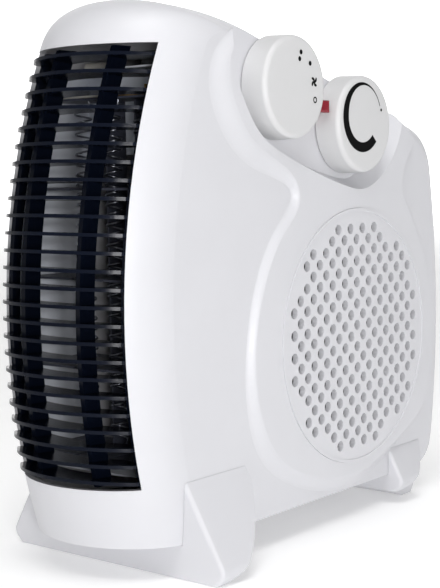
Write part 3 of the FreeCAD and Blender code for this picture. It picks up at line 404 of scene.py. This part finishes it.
@dataclass
class Controls:
    """Dials with their prints, lens and the parts behind them."""

    mode_marks: list[Print] = field(default_factory=lambda: [
        Print("mark_high_outer", 4.0, 15.8, disc(1.15)),
        Print("mark_high_inner", 2.9, 12.7, disc(1.15)),
        Print("mark_low", 11.1, 11.0, disc(1.15)),
        Print("mark_fan", 14.2, 2.6, petals(4, 2.7), 20.0, 380.0, twist=0.3),
        Print("mark_off", 14.8, -5.7, hoop(0.85, 1.5)),
    ])
    thermostat_marks: list[Print] = field(default_factory=lambda: [
        Print("mark_warmth", -2.5, 3.2, wedge(17.0, 0.5, 4.8), 20.0, 316.0),
        Print("mark_warmth_dot", 14.4, 7.1, disc(0.75)),
    ])

    def build(self) -> None:
        """Print the marks on both dials."""
        for knob, body, marks in (("mode_knob", "mode_dial", self.mode_marks),
                                  ("thermostat_knob", "thermostat_dial", self.thermostat_marks)):
            low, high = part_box(knob)
            centre = ((low[1] + high[1]) / 2, (low[2] + high[2]) / 2)
            for mark in marks:
                made = mark.build(centre, high[0])
                paint([made], BLACK_INK)
                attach(made, body)

    def dress(self) -> None:
        """Paint the dials and what is behind them."""
        paint(nodes_named("mode_knob", "thermostat_knob"), KNOB_ABS)
        paint(nodes_named("indicator_lens"), RED_LENS)
        paint(nodes_named("neon_lamp"), LAMP_GLASS)
        paint(nodes_named("switch_body", "mode_spindle"), DARK_ABS)
        paint(nodes_named("thermostat_body"), CERAMIC)
        paint(nodes_named("thermostat_spindle"), BRASS)
        paint(nodes_named("bimetal_blade"), STEEL)


@dataclass
class HeatingElement:
    """Mica frame, coils, duct and the leads that show through the outlet."""

    def dress(self) -> None:
        """Paint the element."""
        paint(nodes_named("mica_"), MICA_PAINTED_SHADE)
        paint(nodes_named("heating_coil"), NICHROME)
        paint(nodes_named("heater_duct"), BRIGHT)
        paint(nodes_named("element_strip"), BRASS)
        paint(nodes_named("sleeved_lead", "thermal_fuse"), SLEEVE)
        paint(nodes_named("red_lead"), RED_SILICONE)
        paint(nodes_named("thermal_cutout", "terminal_block"), DARK_ABS)


@dataclass
class FanUnit:
    """Motor, fan wheel and screws."""

    def dress(self) -> None:
        """Paint the fan unit."""
        paint(nodes_named("motor_plate", "stator_stack", "motor_bracket", "rotor_shaft", "impeller_clip"), STEEL)
        paint(nodes_named("motor_coil"), SLEEVE)
        paint([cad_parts["impeller"]], DARK_ABS)
        paint(nodes_named("fan_scroll"), DARK_ABS)
        paint([obj for name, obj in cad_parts.items() if "screw" in name], STEEL)


@dataclass
class Studio:
    """Floor, light and camera.

    Attributes:
        eye: Camera place in mm.
        azimuth: Turn of the camera about Z in degrees.
        pitch: Downward tilt in degrees.
        roll: Roll in degrees.
        lens: Focal length in mm on a 36 mm sensor.
    """

    eye: tuple[float, float, float] = (413.0, -516.2, 177.8)
    azimuth: float = 39.0
    pitch: float = 5.42
    roll: float = -1.01
    lens: float = 82.2

    def camera(self) -> None:
        """Place the camera as in the photo."""
        turn, tilt, lean = (math.radians(v) for v in (self.azimuth, self.pitch, self.roll))
        ahead = np.array([-math.sin(turn) * math.cos(tilt), math.cos(turn) * math.cos(tilt), -math.sin(tilt)])
        right = np.array([math.cos(turn), math.sin(turn), 0.0])
        up = np.cross(right, ahead)
        side = math.cos(lean) * right + math.sin(lean) * up
        top = math.cos(lean) * up - math.sin(lean) * right
        data = bpy.data.cameras.new("camera")
        data.lens = self.lens
        data.sensor_width = SENSOR
        data.clip_start = 0.01
        made = bpy.data.objects.new("camera", data)
        place = np.eye(4)
        place[:3, 0], place[:3, 1], place[:3, 2], place[:3, 3] = side, top, -ahead, np.array(self.eye) * MM
        made.matrix_world = Matrix(place.tolist())
        bpy.context.scene.collection.objects.link(made)
        bpy.context.scene.camera = made

    def floor(self) -> None:
        """Lay a wide pale floor under the feet."""
        line = np.linspace(-FLOOR_REACH, FLOOR_REACH, 3)
        x, y = np.meshgrid(line, line, indexing="ij")
        made = surface("floor", np.stack([x, y, np.full_like(x, FLOOR_LEVEL * MM)], axis=-1))
        paint([made], PALE_FLOOR)

    def backdrop(self) -> None:
        """Stand a plain white lit screen far behind the heater."""
        width = np.linspace(-SCREEN_HALF, SCREEN_HALF, 3)
        height = np.linspace(FLOOR_LEVEL * MM, SCREEN_TOP, 3)
        turn = math.radians(self.azimuth)
        across, z = np.meshgrid(width, height, indexing="ij")
        x = -SCREEN_AWAY * math.sin(turn) + across * math.cos(turn)
        y = SCREEN_AWAY * math.cos(turn) + across * math.sin(turn)
        made = surface("backdrop", np.stack([x, y, z], axis=-1))
        paint([made], WHITE_SCREEN)

    def lamp(self, name: str, place: tuple[float, float, float], aim: tuple[float, float, float],
             size: float, power: float) -> None:
        """Hang a square soft light.

        Args:
            name: Object name.
            place: Where it hangs, in metres.
            aim: What it faces, in metres.
            size: Side length in metres.
            power: Watts.
        """
        data = bpy.data.lights.new(name, "AREA")
        data.size = size
        data.energy = power
        made = bpy.data.objects.new(name, data)
        away = np.array(place) - np.array(aim)
        away /= np.linalg.norm(away)
        side = np.cross([0.0, 0.0, 1.0], away)
        side /= np.linalg.norm(side)
        up = np.cross(away, side)
        grid = np.eye(4)
        grid[:3, 0], grid[:3, 1], grid[:3, 2], grid[:3, 3] = side, up, away, place
        made.matrix_world = Matrix(grid.tolist())
        bpy.context.scene.collection.objects.link(made)

    def light(self) -> None:
        """Pale surround, a soft light overhead, one beside the camera and a weak one from the front left."""
        world = bpy.data.worlds.new("surround")
        world.use_nodes = True
        back = world.node_tree.nodes["Background"]
        back.inputs["Color"].default_value = (1.0, 1.0, 1.0, 1.0)
        back.inputs["Strength"].default_value = SURROUND
        scene = bpy.context.scene
        scene.world = world
        self.lamp("overhead", (0.3, -0.4, 1.25), (0.0, 0.0, 0.15), 0.7, 7.0)
        self.lamp("camera_side", (0.80, -0.74, 0.17), (0.0, -0.08, 0.14), 0.22, 5.4)
        self.lamp("front", (-0.4, -1.3, 0.9), (0.0, -0.1, 0.13), 0.9, 0.6)
        scene.view_settings.view_transform = "Standard"
        scene.view_settings.look = "None"
        scene.use_nodes = False

    def build(self) -> None:
        """Set up everything round the heater."""
        self.camera()
        self.floor()
        self.backdrop()
        self.light()


def main() -> None:
    """Build and dress the whole scene."""
    logging.basicConfig(level=logging.INFO, format="%(message)s")
    Casing().dress()
    controls = Controls()
    controls.build()
    controls.dress()
    HeatingElement().dress()
    FanUnit().dress()
    Studio().build()


if __name__ == "__main__":
    main()
